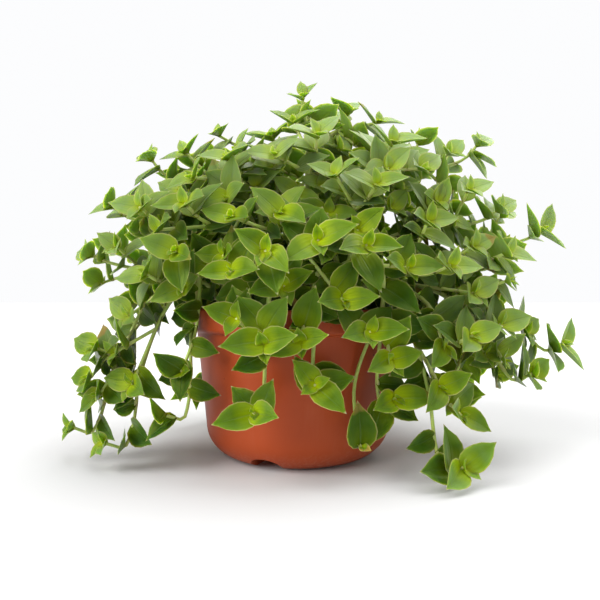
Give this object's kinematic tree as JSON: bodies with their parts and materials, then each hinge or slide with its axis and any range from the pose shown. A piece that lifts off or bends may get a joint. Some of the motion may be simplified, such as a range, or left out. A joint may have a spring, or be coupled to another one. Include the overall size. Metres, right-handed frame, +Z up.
{
  "type": "turtle vine in a nursery pot",
  "caption": "Small trailing house plant with glossy ovate leaves, rising in a dome from a terracotta-coloured plastic pot and hanging over its rim.",
  "frame": {"origin": "centre of the pot's flat foot, on the surface that it stands on", "axes": "+Z up, -Y the front as in the picture, +X to its right"},
  "size_m": [0.292, 0.2217, 0.2078],
  "materials": {
    "pot": "satin terracotta-coloured plastic",
    "soil": "dull dark potting soil",
    "foliage": "satin green leaves on pale green stems"
  },
  "bodies": {
    "root": {"pot": "pot", "soil": "soil", "vine_01": "foliage", "vine_02": "foliage", "vine_03": "foliage", "vine_04": "foliage", "vine_05": "foliage", "vine_06": "foliage", "vine_07": "foliage", "vine_08": "foliage", "vine_09": "foliage", "vine_10": "foliage", "vine_11": "foliage", "vine_12": "foliage", "vine_13": "foliage", "vine_14": "foliage", "vine_15": "foliage", "vine_16": "foliage", "vine_17": "foliage", "vine_18": "foliage", "vine_19": "foliage", "vine_20": "foliage", "vine_21": "foliage", "vine_22": "foliage", "vine_23": "foliage", "vine_24": "foliage", "vine_25": "foliage", "vine_26": "foliage", "vine_27": "foliage", "vine_28": "foliage", "vine_29": "foliage", "vine_30": "foliage", "vine_31": "foliage", "vine_32": "foliage", "vine_33": "foliage", "vine_34": "foliage", "vine_35": "foliage", "vine_36": "foliage", "vine_37": "foliage", "vine_38": "foliage", "vine_39": "foliage", "vine_40": "foliage", "vine_41": "foliage", "vine_42": "foliage", "vine_43": "foliage", "vine_44": "foliage", "vine_45": "foliage", "vine_46": "foliage", "vine_47": "foliage", "vine_48": "foliage", "vine_49": "foliage", "vine_50": "foliage", "vine_51": "foliage"}
  },
  "joints": []
}
